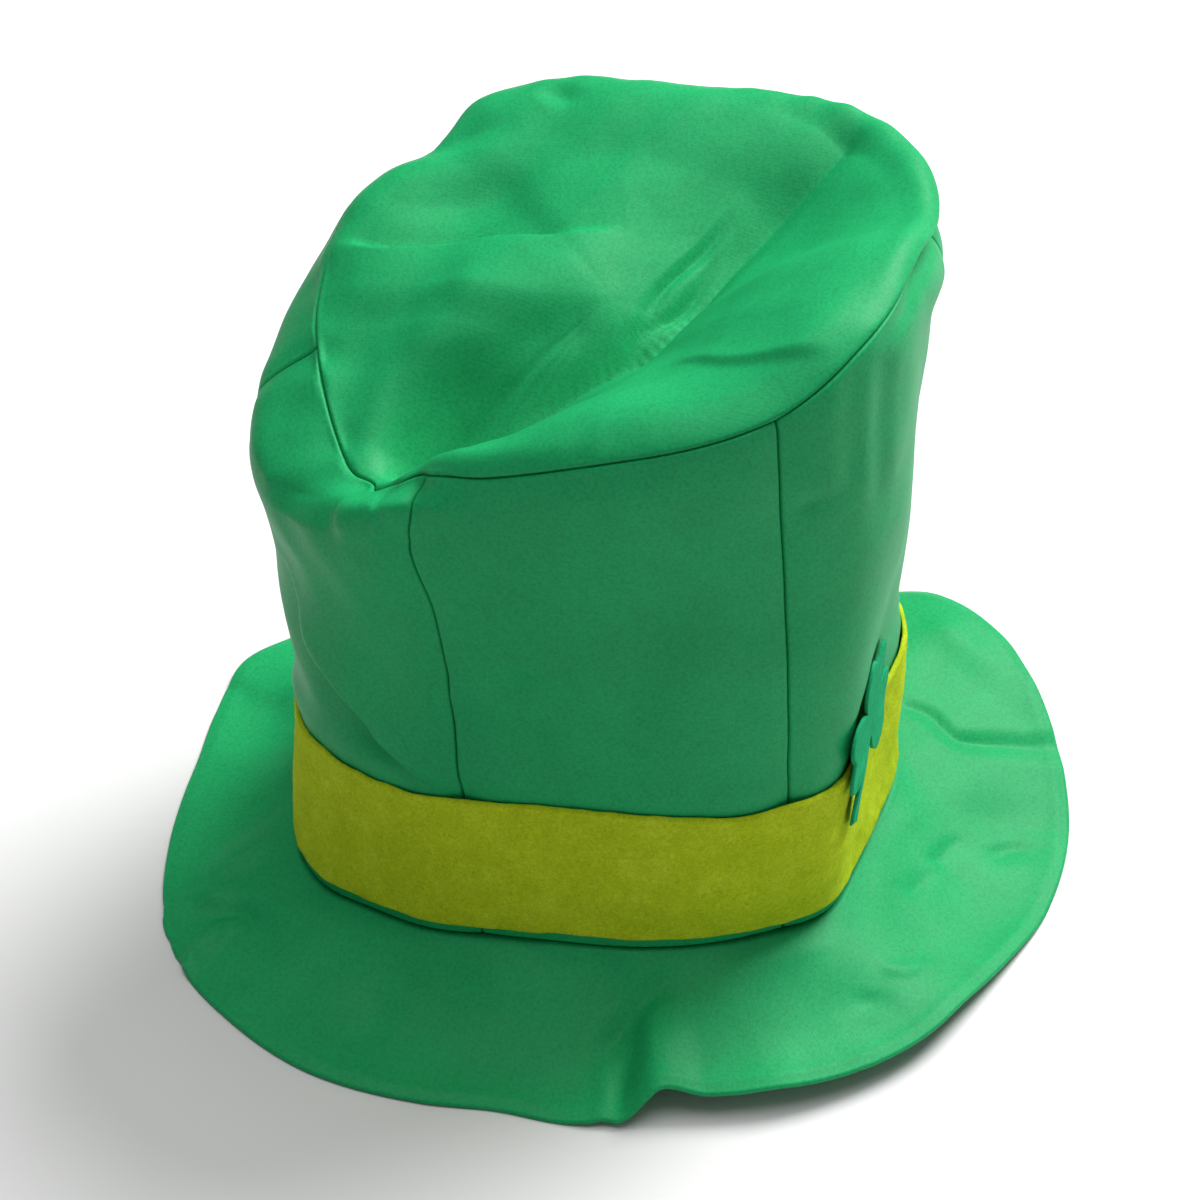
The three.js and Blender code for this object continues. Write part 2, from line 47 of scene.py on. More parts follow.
BAND_HEIGHT, BAND_LIFT = 57, 5
CLOTH, FELT, GAP = 2.5, 1.6, 0.3
TIP_PUFF, VALLEY_DEPTH = 7, 23
PANELS, FIRST_SEAM = 6, 38
SEAM_LEANS = [7, 11, 6, 0, -2, 4]
SEAM_BENDS = [0.3, 1.4, 0.8, -0.6, 0.4, 0.5]
TIP_MIDDLE_SHARE, PUFF_SHARE = 0.95, 0.45
RADIAN = math.pi / 180
MEAN_RADIUS = (HEAD_LONG + HEAD_WIDE) / 4
FOLD_ROUND = 1.0  # radius at the bottom of the sharpest fold
FOLD_POWER = 1.4  # 1 for straight walls, 2 for hollow ones
LAP_EDGE = 1.5  # half of the way over which cloth steps down at a lap


def table(columns, rows):
    """Rows of numbers as arrays with the columns' names."""
    return dict(zip(columns.split(), np.array(rows, float).T))


# The crown's outline at angles round it. foot, band, waist, shoulder and rim are shares of the head's
# radius there, footUp of the foot's drop, shoulderUp and rimUp of the crown's height, puff of the tip's.
CROWN = table("at footUp foot band waist shoulder shoulderUp rim rimUp puff", [
    [0, 1.0, 0.955, 0.937, 1.0, 1.015, 0.97, 0.99, 1.05, 0.6],
    [14, 1.07, 0.955, 0.94, 1.02, 1.02, 0.97, 0.99, 1.048, 0.74],
    [28, 1.14, 0.985, 1.005, 1.045, 1.015, 0.96, 0.99, 1.03, 0.9],
    [45, 1.2, 0.95, 1.0, 1.0, 1.0, 0.93, 0.99, 0.972, 1.0],
    [75, 1.15, 0.98, 0.99, 1.0, 1.02, 0.85, 1.01, 0.91, 1.2],
    [100, 1.05, 1.01, 1.01, 1.01, 1.03, 0.78, 1.0, 0.85, 1.2],
    [114, 0.9, 1.03, 1.03, 1.02, 1.03, 0.74, 0.98, 0.82, 1.1],
    [128, 0.75, 1.03, 1.03, 1.03, 1.05, 0.72, 0.955, 0.75, 0.3],
    [140, 0.62, 1.07, 1.03, 1.05, 1.08, 0.7, 0.9, 0.745, 0.0],
    [155, 0.55, 1.09, 1.045, 1.09, 1.13, 0.71, 0.905, 0.785, 0.0],
    [175, 0.6, 1.09, 1.055, 1.11, 1.13, 0.75, 0.98, 0.835, 0.5],
    [195, 0.65, 1.04, 1.04, 1.04, 1.1, 0.8, 1.02, 0.88, 1.2],
    [215, 0.8, 1.0, 1.0, 1.0, 1.05, 0.87, 0.98, 0.92, 0.9],
    [228, 0.9, 1.0, 1.0, 1.0, 1.04, 0.91, 1.03, 0.965, 0.8],
    [245, 1.0, 1.0, 1.0, 1.0, 1.03, 0.94, 1.03, 0.995, 0.8],
    [270, 1.0, 1.0, 1.0, 1.0, 1.02, 0.95, 1.02, 1.01, 0.8],
    [300, 1.0, 1.0, 1.0, 0.99, 1.0, 0.97, 1.03, 1.03, 0.7],
    [325, 1.0, 0.995, 0.985, 0.985, 0.985, 0.97, 1.01, 1.035, 0.6],
    [345, 1.0, 0.985, 0.965, 0.99, 1.01, 0.97, 1.01, 1.03, 0.5],
])
# How far the brim goes out, as a share of its width, and how far its edge stays up, of the foot's drop
BRIM = table("at out up", [
    [0, 1.05, 0.0], [12, 0.95, 0.2], [25, 0.85, 0.4], [45, 0.88, 0.42], [60, 0.84, 0.42],
    [67, 0.82, 0.4], [73, 0.9, 0.02], [80, 0.92, 0.0], [90, 0.9, 0.0], [100, 0.96, 0.0],
    [115, 1.0, 0.0], [130, 0.97, 0.0], [148, 0.83, 0.0], [160, 0.76, 0.0], [175, 0.76, 0.0],
    [186, 0.86, 0.0], [196, 0.95, 0.1], [205, 0.85, 0.1], [225, 0.9, 0.0], [250, 0.95, 0.0],
    [275, 0.8, 0.0], [289, 0.87, 0.2], [303, 1.05, 0.84], [316, 1.08, 0.85], [331, 1.05, 0.4],
    [346, 1.06, 0.0],
])


def fold(depth, crisp, left, right, *path, lap=0.0):
    """A fold: its depth in mm, how sharp it is from 0 to 1, how far it reaches to the left and right
    of its path's way, the path's points with shares of the depth, and how far it is one step."""
    return dict(depth=depth, crisp=crisp, left=left, right=right, path=path, lap=lap)


# The tip's paths are shares of the half width and half length, across and to the back.
VALLEY_PATH = [(1.13, -0.75, 0.2), (0.73, -0.61, 0.45), (0.5, -0.46, 0.6), (0.29, -0.35, 0.75),
               (0.05, -0.25, 0.95), (-0.17, -0.12, 1.1), (-0.33, 0.06, 1.15), (-0.47, 0.19, 1.1),
               (-0.58, 0.33, 0.95), (-0.66, 0.46, 0.6), (-0.76, 0.6, 0.15)]
TIP_FOLDS = [
    # The dent, and the sharp crease along its bottom
    fold(-VALLEY_DEPTH, 0.9, 0.5, 0.6, *VALLEY_PATH),
    fold(-3, 1, 0.08, 0.14, *VALLEY_PATH),
    fold(2.5, 0.5, 0.25, 0.12, (-0.1, 0.97, 0.3), (-0.08, 0.88, 0.7), (-0.06, 0.6, 1.0),
         (-0.08, 0.29, 0.9), (0.0, 0.04, 0.4), (0.12, -0.08, 0)),
    fold(-6, 1, 0.42, 0.04, (0.17, 1.02, 0.3), (0.13, 0.81, 0.8), (0.17, 0.65, 1), (0.2, 0.48, 1),
         (0.21, 0.3, 0.9), (0.25, 0.18, 0.5), (0.31, 0.03, 0)),
    fold(-2, 1, 0.035, 0.03, (-0.22, -0.09, 0), (-0.05, -0.12, 0.8), (0.07, -0.2, 1),
         (0.16, -0.24, 0.9), (0.25, -0.26, 0.4), (0.32, -0.27, 0)),
    fold(-2, 1, 0.03, 0.035, (-0.12, -0.08, 0), (-0.02, -0.1, 0.7), (0.14, -0.14, 1),
         (0.32, -0.23, 0.9), (0.42, -0.27, 0.4), (0.52, -0.3, 0)),
    fold(2.4, 0.8, 0.22, 0.035, (-0.46, -0.3, 0), (-0.5, -0.38, 0.7), (-0.58, -0.52, 1),
         (-0.61, -0.64, 1), (-0.61, -0.8, 0.8), (-0.57, -0.92, 0), lap=0.5),
    # The far side of the dent falls evenly from its ridge to the seam
    fold(8, 0.2, 0.3, 0.25, (-0.73, 0.65, 0.5), (-0.6, 0.69, 1), (-0.44, 0.62, 1), (-0.28, 0.5, 1),
         (-0.2, 0.3, 0.6), (-0.1, 0.1, 0)),
    fold(-3, 0.9, 0.1, 0.1, (0.6, 0.85, 0.6), (0.63, 0.76, 1), (0.67, 0.62, 0.5), (0.7, 0.5, 0)),
    fold(-2, 0.9, 0.08, 0.08, (0.86, 0.42, 0.8), (0.84, 0.39, 1), (0.78, 0.32, 0)),
    fold(-1.5, 0.6, 0.12, 0.12, (0.3, 0.9, 0.3), (0.34, 0.7, 1), (0.42, 0.5, 0.6), (0.5, 0.35, 0)),
]
# The side's paths are angles and shares of the crown's height.
SIDE_FOLDS = [
    fold(4.5, 0.1, 0.07, 0.14, (108, 0.74, 0), (116, 0.73, 0.8), (128, 0.69, 1),
         (142, 0.69, 0.6), (158, 0.7, 0)),
    fold(-4, 0.7, 0.1, 0.2, (147, 0.55, 0), (143, 0.497, 0.6), (140.8, 0.45, 1), (137.2, 0.413, 1.2),
         (132, 0.374, 1.2), (127, 0.349, 1.1), (123.5, 0.327, 1), (119.8, 0.313, 0.8), (115.2, 0.297, 0.7),
         (110.8, 0.286, 0.6), lap=1),
    fold(-5, 0.2, 0.08, 0.08, (217, 0.97, 0.9), (216, 0.85, 0.8), (214, 0.65, 0)),
    fold(-5, 0.2, 0.1, 0.1, (62, 0.72, 0), (68, 0.55, 0.5), (72, 0.4, 0)),
    fold(-5, 0.2, 0.1, 0.1, (280, 0.8, 0), (288, 0.6, 0.6), (292, 0.42, 0)),
    fold(-4, 0.7, 0.03, 0.03, (146, 0.7, 0), (141, 0.705, 1), (136, 0.715, 1),
         (132, 0.73, 0.8), (128, 0.75, 0.3)),
    fold(-2.6, 0.4, 0.03, 0.035, (117.5, 0.83, 1), (115.5, 0.8, 1), (113, 0.77, 0.6), (109, 0.74, 0)),
    fold(-2.4, 0.4, 0.03, 0.035, (124, 0.79, 1), (122, 0.765, 1), (119, 0.745, 0.7), (115, 0.71, 0)),
    fold(-2.2, 0.4, 0.03, 0.03, (131.5, 0.76, 1), (130, 0.735, 1), (127, 0.71, 0.5), (122, 0.67, 0)),
    fold(-1.4, 0.2, 0.04, 0.05, (139, 0.7, 0), (137.5, 0.66, 1), (134, 0.6, 0.7), (130, 0.54, 0)),
    fold(-1.2, 0.4, 0.03, 0.03, (23, 0.98, 0.6), (24, 0.86, 1), (23, 0.73, 0)),
    fold(-1, 0.4, 0.03, 0.03, (31, 0.98, 0.6), (31, 0.88, 1), (32, 0.8, 0)),
    fold(-1.2, 0.8, 0.03, 0.03, (42, 0.83, 0), (39, 0.825, 1), (34.5, 0.823, 0.2)),
    fold(1.4, 0.4, 0.05, 0.05, (98, 0.42, 0), (104, 0.45, 1), (112, 0.44, 0.5), (118, 0.4, 0)),
    fold(-1.3, 0.5, 0.04, 0.04, (88, 0.52, 0), (94, 0.49, 1), (101, 0.5, 0)),
]
# The brim's paths are angles and shares of its width.
BRIM_FOLDS = [
    fold(5, 0.6, 0.25, 0.5, (66, 0.3, 0), (68, 0.7, 0.7), (69, 1, 1)),
    fold(-3.8, 0.9, 0.12, 0.12, (146, 0.9, 0.8), (144.5, 0.7, 1), (142.5, 0.5, 0.7), (136, 0.35, 0)),
    fold(-5, 0.4, 0.3, 0.3, (186, 1, 0.8), (183, 0.5, 0.5), (180, 0.2, 0)),
    fold(-1.5, 0.4, 0.3, 0.3, (322, 1, 0.7), (326, 0.7, 0.3), (330, 0.5, 0)),
    fold(-2.2, 0.9, 0.12, 0.12, (61, 0.1, 0), (63, 0.16, 0.5), (68, 0.31, 1), (72.2, 0.42, 1),
         (74.5, 0.5, 0.8), (77.5, 0.61, 0.3), (80, 0.7, 0)),
    fold(-2, 0.7, 0.12, 0.16, (69, 0.3, 0), (70, 0.45, 0.8), (71, 0.6, 1),
         (72.3, 0.77, 1), (73.3, 0.96, 0.8)),
    fold(1.5, 0.8, 0.08, 0.08, (74.6, 0.6, 0), (74.8, 0.78, 1), (75.2, 0.96, 0.8)),
    fold(3.2, 1, 0.06, 0.1, (138, 1, 0.7), (139.8, 0.86, 1), (140.8, 0.75, 1),
         (142.2, 0.64, 0.8), (141.5, 0.48, 0)),
    fold(2, 0.8, 0.12, 0.25, (147, 0.95, 0.6), (147, 0.71, 1), (147.4, 0.57, 0.8), (149, 0.42, 0)),
    fold(2.6, 0.8, 0.2, 0.3, (156, 0.08, 0.5), (155, 0.34, 1), (152.5, 0.54, 1),
         (149.8, 0.69, 0.6), (148, 0.8, 0)),
    fold(-2.5, 0.9, 0.12, 0.2, (184.5, 1, 1), (183.6, 0.8, 1), (186, 0.72, 0.7),
         (190, 0.55, 0.5), (192, 0.4, 0)),
    fold(-2.3, 1, 0.07, 0.12, (322.4, 0.12, 0), (324, 0.21, 0.7), (326, 0.29, 0.9),
         (330.2, 0.36, 1), (331.5, 0.43, 1), (332, 0.67, 1), (332.5, 0.86, 0.9), (332.6, 1, 0.7)),
    fold(1.2, 0.5, 0.15, 0.2, (308, 0.66, 0), (311, 0.71, 1), (316, 0.75, 1),
         (320, 0.83, 0.8), (323, 0.93, 0)),
    fold(-1.4, 0.8, 0.06, 0.12, (359.8, 0.33, 0), (358.4, 0.35, 1), (355.8, 0.37, 1),
         (353, 0.4, 0.8), (351, 0.46, 0)),
    fold(-1.2, 0.8, 0.12, 0.06, (11, 0.33, 0), (8.5, 0.33, 1), (5, 0.34, 1), (1, 0.35, 0)),
    fold(-1.9, 0.9, 0.06, 0.12, (353, 0.56, 0), (352, 0.63, 0.8), (350.2, 0.74, 1),
         (350, 0.9, 0.9), (350, 1, 0.6)),
    fold(1.0, 0.8, 0.1, 0.06, (28.5, 0.47, 0), (27, 0.51, 0.9), (24.5, 0.6, 1),
         (21.8, 0.64, 0.8), (19, 0.73, 0)),
    fold(-0.8, 0.5, 0.1, 0.1, (36, 0.55, 0), (33, 0.62, 1), (30, 0.7, 0)),
    fold(-1.6, 0.5, 0.15, 0.15, (110, 1, 0.6), (112, 0.7, 1), (113, 0.4, 0)),
    fold(-1.6, 0.6, 0.15, 0.15, (240, 1, 0.8), (243, 0.6, 1), (243, 0.2, 0)),
    fold(1.8, 0.5, 0.2, 0.2, (262, 1, 1), (258, 0.6, 0.7), (257, 0.3, 0)),
]


def mix(a, b, share):
    return a + (b - a) * share


def smoothstep(x, low=0.0, high=1.0):
    q = np.clip((x - low) / (high - low), 0, 1)
    return q * q * (3 - 2 * q)


def window(angle, middle, half):
    """1 at an angle and falling smoothly to 0 at half to its sides."""
    off = np.abs(np.mod(angle - middle + 180, 360) - 180)
    return 1 - smoothstep(off / half)


def cubic(start, end, slope_start, slope_end, length, share):
    s2 = share * share
    s3 = s2 * share
    return (start * (2 * s3 - 3 * s2 + 1) + end * (3 * s2 - 2 * s3)
            + length * (slope_start * (s3 - 2 * s2 + share) + slope_end * (s3 - s2)))


def around(rows, column, angle):
    """A column of a table that goes round the hat, smooth at every angle."""
    at, values = rows["at"], rows[column]
    turn = np.mod(angle, 360)
    after = np.searchsorted(at, turn, side="right")
    spots = []
    for i in (after - 2, after - 1, after, after + 1):
        lap = np.floor_divide(i, len(at))
        spots.append((at[i - lap * len(at)] + 360 * lap, values[i - lap * len(at)]))
    (a0, v0), (a1, v1), (a2, v2), (a3, v3) = spots
    slope_start, slope_end = (v2 - v0) / (a2 - a0), (v3 - v1) / (a3 - a1)
    return cubic(v1, v2, slope_start, slope_end, a2 - a1, (turn - a1) / (a2 - a1))


def along(knots, values, share):
    """A smooth line through values at knots from 0 to 1."""
    knots = np.asarray(knots, float)
    arrays = np.broadcast_arrays(share, *values)
    share, values = arrays[0], np.stack(arrays[1:])
    i = np.clip(np.searchsorted(knots, share, side="left") - 1, 0, len(knots) - 2)

    def value(j):
        return np.take_along_axis(values, j[None], 0)[0]

    def slope(a, b):
        return (value(b) - value(a)) / (knots[b] - knots[a])

    last = len(knots) - 1
    return cubic(value(i), value(i + 1), slope(np.maximum(i - 1, 0), i + 1),
                 slope(i, np.minimum(i + 2, last)), knots[i + 1] - knots[i],
                 (share - knots[i]) / (knots[i + 1] - knots[i]))


def smooth_path(path, steps=6):
    """A path's points with more between them, on a smooth line."""
    path = np.array(path, float)
    reach = np.concatenate([[0], np.cumsum(np.linalg.norm(np.diff(path[:, :2], axis=0), axis=1))])
    reach /= reach[-1]
    share = np.linspace(0, 1, steps * (len(path) - 1) + 1)
    return np.stack([along(reach, list(path[:, c]), share) for c in range(3)], -1)


BEND_NEAR, BEND_WIDEN = 0.4, 0.1  # how fast farther points of a path count less, in mm and per mm


def fold_lift(folds, unit, x, y, to_place):
    """How much folds lift the cloth at points. to_place turns a path's points into mm."""
    lift = np.zeros_like(x)
    for fold in folds:
        path = smooth_path(fold["path"])
        px, py = to_place(path[:, 0], path[:, 1])
        widest = max(fold["left"], fold["right"]) * unit
        near = ((x > px.min() - widest) & (x < px.max() + widest)
                & (y > py.min() - widest) & (y < py.max() + widest))
        if not near.any():
            continue
        u, v = x[near][:, None], y[near][:, None]
        dx, dy = np.diff(px), np.diff(py)
        s = np.clip(((u - px[:-1]) * dx + (v - py[:-1]) * dy) / (dx * dx + dy * dy), 0, 1)
        ox, oy = u - px[:-1] - s * dx, v - py[:-1] - s * dy
        distances = np.hypot(ox, oy)
        nearest = distances.min(1)
        # Far from the path its whole bend counts, so that no edge shows where the nearest point jumps
        fade = BEND_NEAR + BEND_WIDEN * nearest[:, None]
        weights = np.exp(-(distances - nearest[:, None]) / fade)
        weights /= weights.sum(1, keepdims=True)
        share = (weights * mix(path[:-1, 2], path[1:, 2], s)).sum(1)
        signed = (weights * (dx * oy - dy * ox) / np.hypot(dx, dy)).sum(1)
        away = np.sqrt((weights * distances).sum(1) ** 2 + FOLD_ROUND ** 2) - FOLD_ROUND
        reach = np.where(signed > 0, fold["left"], fold["right"]) * unit
        q = np.clip(away / reach, 0, 1)
        shape = mix(np.cos(q * math.pi / 2) ** 2, (1 - q) ** FOLD_POWER, fold["crisp"])
        shape *= mix(1, np.tanh(signed / LAP_EDGE), fold["lap"])
        lift[near] += fold["depth"] * share * shape
    return lift


def waves(points, length, seed, count=16):
    """A smooth random field about 1 high over points in mm, with bumps about length apart."""
    rng = np.random.default_rng(seed)
    ways = rng.normal(size=(count, 3))
    ways /= np.linalg.norm(ways, axis=1, keepdims=True)
    ways *= 2 * math.pi / (length * rng.uniform(0.7, 1.5, (count, 1)))
    phases = rng.uniform(0, 2 * math.pi, count)
    return np.sin(points @ ways.T + phases).sum(-1) / math.sqrt(count / 2)


# The hat's faces, as arrays of points
def outline(angle):
    across = np.abs(np.sin(angle * RADIAN) / (HEAD_WIDE / 2)) ** HEAD_SQUARENESS
    forward = np.abs(np.cos(angle * RADIAN) / (HEAD_LONG / 2)) ** HEAD_SQUARENESS
    return (across + forward) ** (-1 / HEAD_SQUARENESS)


def polar(angle, radius, height):
    angle, radius, height = np.broadcast_arrays(angle, radius, height)
    return np.stack([-np.sin(angle * RADIAN) * radius, -np.cos(angle * RADIAN) * radius, height], -1)


def foot_radius(angle):
    return around(CROWN, "foot", angle) * outline(angle)


def foot_height(angle):
    return around(CROWN, "footUp", angle) * CROWN_DROP


def crown_height(share):
    return CROWN_DROP + share * CROWN_HEIGHT


def equal_arcs(count, start):
    angles = start + np.linspace(0, 360, 721)
    points = polar(angles, foot_radius(angles), 0)
    lengths = np.concatenate([[0], np.cumsum(np.linalg.norm(np.diff(points, axis=0), axis=1))])
    return np.interp(np.arange(count) * lengths[-1] / count, lengths, angles)


SEAM_FEET = equal_arcs(PANELS, FIRST_SEAM)


def bell(distance, middle, width):
    """1 at the middle distance and fading like a bell on both sides of it."""
    return np.exp(-(((distance - middle) / width) ** 2))


BEND_UP, BEND_LONG = 0.84, 0.13  # where the seams bend, as shares of their length


def seam_angle(k, share):
    """Where a seam runs. The number k may pass the last seam, for the same seam a turn later."""
    lap, i = divmod(k, PANELS)
    bend = SEAM_BENDS[i] * bell(share, BEND_UP, BEND_LONG)
    return SEAM_FEET[i] + 360 * lap + SEAM_LEANS[i] * share + bend


SIDE_KNOTS = [0, 0.27, 0.55, 0.9, 1]  # shares of the side at its foot, band, waist, shoulder and rim
SIDE_FOLDS_FADE = 0.08  # share of the side over which folds fade towards the band


def side_place(at, up):
    return at * RADIAN * MEAN_RADIUS, up * CROWN_HEIGHT


def side(angle, share):
    """The crown's side: share runs from 0 at the foot to 1 at the rim."""
    radius = outline(angle)
    levels = ("foot", "band", "waist", "shoulder", "rim")
    radii = [around(CROWN, name, angle) * radius for name in levels]
    foot = foot_height(angle)
    band_top = foot + BAND_LIFT + BAND_HEIGHT
    shoulder = crown_height(around(CROWN, "shoulderUp", angle))
    rim = crown_height(around(CROWN, "rimUp", angle))
    heights = [foot, band_top, (band_top + shoulder) / 2, shoulder, rim]
    height = along(SIDE_KNOTS, heights, share)
    x, y = side_place(np.mod(angle, 360) + 0 * share, 0)[0], height - CROWN_DROP
    folds = fold_lift(SIDE_FOLDS, CROWN_HEIGHT, x, y, side_place)
    free = smoothstep(share, SIDE_KNOTS[1], SIDE_KNOTS[1] + SIDE_FOLDS_FADE)
    return polar(angle, along(SIDE_KNOTS, radii, share) + folds * free, height)


PUFF_PEAK = 6.75  # one over the highest value of q (1 - q) squared
TIP_FOLDS_START, PINCH_START = 0.15, 0.08  # share of the tip that its folds need to begin, more at the pinch


def tip_place(across, back):
    return across * HEAD_WIDE / 2, back * HEAD_LONG / 2


def tip(angle, share):
    """The crown's tip: share runs from 0 at the rim to 1 at its middle."""
    rim = side(angle, 1 + 0 * angle)
    x, y = rim[..., 0] * (1 - share), rim[..., 1] * (1 - share)
    q = np.clip(share / PUFF_SHARE, 0, 1)
    puff = PUFF_PEAK * q * (1 - q) ** 2 * around(CROWN, "puff", angle) * TIP_PUFF
    folds = fold_lift(TIP_FOLDS, HEAD_WIDE / 2, x, y, tip_place)
    level = mix(rim[..., 2], crown_height(TIP_MIDDLE_SHARE), smoothstep(share))
    start = TIP_FOLDS_START + PINCH_START * window(angle, 156, 22)
    return np.stack([x, y, level + puff + folds * smoothstep(share / start)], -1)


BRIM_LANDING, BRIM_DROOP = 0.88, 1.6  # share of the brim where it reaches its edge's height, and its droop
BRIM_FOLDS_START = 0.2
SOFT_EDGE, SOFT_WITHIN = 0.1, 1.2  # how softly the brim lands on the floor in mm, and how much more inside
EDGE_DROP = 0.07


def brim_place(at, away):
    return at * RADIAN * (MEAN_RADIUS + BRIM_WIDTH / 2), away * BRIM_WIDTH


def brim(angle, share):
    """The brim's upper face: share runs from 0 at the crown to 1 at its edge."""
    out = around(BRIM, "out", angle) * BRIM_WIDTH
    edge = np.maximum(around(BRIM, "up", angle), 0) * CROWN_DROP + CLOTH
    fall = 1 - (1 - np.minimum(share / BRIM_LANDING, 1)) ** BRIM_DROOP
    folds = fold_lift(BRIM_FOLDS, BRIM_WIDTH, brim_place(np.mod(angle, 360) + 0 * share, 0)[0],
                      share * BRIM_WIDTH + 0 * angle, brim_place)
    height = mix(foot_height(angle), edge, fall) + folds * smoothstep(share, 0, BRIM_FOLDS_START)
    soft = SOFT_EDGE + SOFT_WITHIN * (1 - smoothstep(share, 0.7, 1))
    height = CLOTH + soft * np.logaddexp(0, (height - CLOTH) / soft) - EDGE_DROP * smoothstep(share, 0.9, 1)
    return polar(angle, foot_radius(angle) + share * out, height)


def unit(vectors):
    return vectors / np.maximum(np.linalg.norm(vectors, axis=-1, keepdims=True), 1e-9)


def normals(points, ring=False):
    """Outward normals of a grid whose rows go up or inwards and columns with the angle."""
    up = np.gradient(points, axis=0)
    if ring:
        way = (np.roll(points, -1, axis=1) - np.roll(points, 1, axis=1)) / 2
    else:
        way = np.gradient(points, axis=1)
    return unit(np.cross(up, way))


def run(points, axis):
    """Length along a grid's lines from the first point."""
    steps = np.linalg.norm(np.diff(points, axis=axis), axis=-1)
    start = np.zeros_like(np.take(steps, [0], axis=axis))
    return np.concatenate([start, np.cumsum(steps, axis=axis)], axis=axis)


def turned_in(distance, radius):
    """How deep cloth has rolled in at a distance from its sewn edge."""
    d = np.clip(distance, 0, radius)
    return radius - np.sqrt(radius * radius - (radius - d) ** 2)


# Cloth lies a little uneven everywhere: the same fields on every piece, so seams stay shut. Each
# field is a height and a length in mm, and where its random numbers start.
UNEVEN_FIELDS = [(0.7, 62, 3), (0.2, 26, 5), (0.03, 11, 7)]


def uneven(points):
    return sum(high * waves(points, length, seed) for high, length, seed in UNEVEN_FIELDS)


def rim_ways(angle):
    """The way out at the rim, between the side's and the tip's own. turn is in degrees, step a share."""
    turn, step = 0.6, 0.012
    angle = np.asarray(angle, float)
    one = 1 + 0 * angle
    way = side(angle + turn, one) - side(angle - turn, one)
    up = unit(side(angle, one) - side(angle, one - step))
    inward = unit(tip(angle, step * one) - side(angle, one))
    return unit(np.cross(up + inward, way))


def foot_ways(angle):
    """The way out of the corner between the brim and the side."""
    turn, step = 0.6, 0.03
    angle = np.asarray(angle, float)
    nil = 0 * angle
    way = side(angle + turn, nil) - side(angle - turn, nil)
    up = unit(side(angle, nil + step) - side(angle, nil))
    inward = unit(brim(angle, nil) - brim(angle, nil + step))
    return unit(np.cross(up + inward, way))


SEAM_ROLL = 1.4  # radius that the cloth turns in at a seam
SEAM_DIP, SEAM_REACH = 0.8, 5  # depth and half width of the hollow that a seam pulls into the cloth
SINK_LIMIT = 2.1  # how deep turned edges go at most, so that the sheet keeps some thickness
RIM_EASE = 7  # how far from the rim the cloth has its own way out again
FOOT_EASE = 12  # over how much of the foot the cloth's unevenness begins
RIM_CALM, RIM_CALM_REACH = 0.6, 6  # how much less uneven the cloth is beside the rim's seam


def gathered(angle, distance):
    """Small puckers that the sewing leaves beside the rim's seam, and longer ones at the valley's end."""
    spot = np.stack([np.cos(angle * RADIAN) * 90, np.sin(angle * RADIAN) * 90, 0 * angle], -1)
    # Some stretches of the seam are gathered more than others
    strength = np.clip(waves(spot, 70, 11) * 0.5 + 0.4, 0, 1.2)
    small = 0.6 * strength * waves(spot, 13, 13) * bell(distance, 0, 8)
    long = 0.5 * window(angle, 124, 22) * waves(spot, 11, 17) * bell(distance, 0, 16)
    return (small + long) * smoothstep(distance, 0, 3)


def beside_rim(angle, distance):
    """What the side does just under the rim: a ridge above the seam at the valley's end, and at the
    front a hollow under the tip's overhang with a bulge below it."""
    ridge = 7 * window(angle, 120, 20) * bell(distance, 11, 7)
    hollow = -5.5 * window(angle, 352, 30) * bell(distance, 5, 4)
    bulge = 3.5 * window(angle, 344, 22) * bell(distance, 19, 8)
    return ridge + hollow + bulge


def tip_roll(angle, distance):
    """The tip's edge, full where it overhangs the front, and a little on the wearer's right."""
    front = 2.2 * window(angle, 352, 36)
    right = 1.2 * window(angle, 96, 24)
    return (front + right) * bell(distance, 6, 5)


def over_band(angle, distance):
    """The cloth's bulge just above the band that holds it in, fullest behind the pinch."""
    return (0.8 + 1.8 * window(angle, 165, 40)) * bell(distance, 7, 6)


def spaced(count, crowd):
    """Shares from 0 to 1, closer at both ends."""
    u = np.linspace(0, 1, count + 1)
    return u - crowd * np.sin(2 * math.pi * u) / (2 * math.pi)


def panel_faces(k, columns, rows):
    """A panel's outer and inner points, its pattern in mm and its flat size."""
    share = spaced(rows, 0.55)[:, None]
    s = spaced(columns, 0.6)[None, :]
    angle = mix(seam_angle(k, share), seam_angle(k + 1, share), s)
    share = share + 0 * angle
    base = side(angle, share)
    out = normals(base)
    across, up = run(base, 1), run(base, 0)
    left, right = across, across[:, -1:] - across
    foot, rim = up, up[-1:, :] - up
    beside = np.minimum(left, right)
    out = unit(mix(rim_ways(angle[-1])[None], out, smoothstep(rim, 0, RIM_EASE)[..., None]))
    out = unit(mix(foot_ways(angle[0])[None], out, smoothstep(foot, 0, RIM_EASE)[..., None]))
    lift = uneven(base) * smoothstep(foot, 0, FOOT_EASE) * (1 - RIM_CALM * bell(rim, 0, RIM_CALM_REACH))
    above_band = up - np.take_along_axis(up, (share < SIDE_KNOTS[1]).sum(0)[None], 0)
    lift += over_band(angle, above_band)
    lift += gathered(angle, rim) + beside_rim(angle, rim) - SEAM_DIP * bell(beside, 0, SEAM_REACH)
    sink = turned_in(beside, SEAM_ROLL) + turned_in(rim, SEAM_ROLL) + turned_in(foot, SEAM_ROLL)
    sink = np.minimum(sink, SINK_LIMIT)
    outer = base + out * (lift - sink)[..., None]
    inner = base + out * (lift - CLOTH)[..., None]
    size = across[:, -1].mean(), up[-1].mean()
    return outer, inner, np.stack([across + PATTERN_STEP * k, up], -1), size


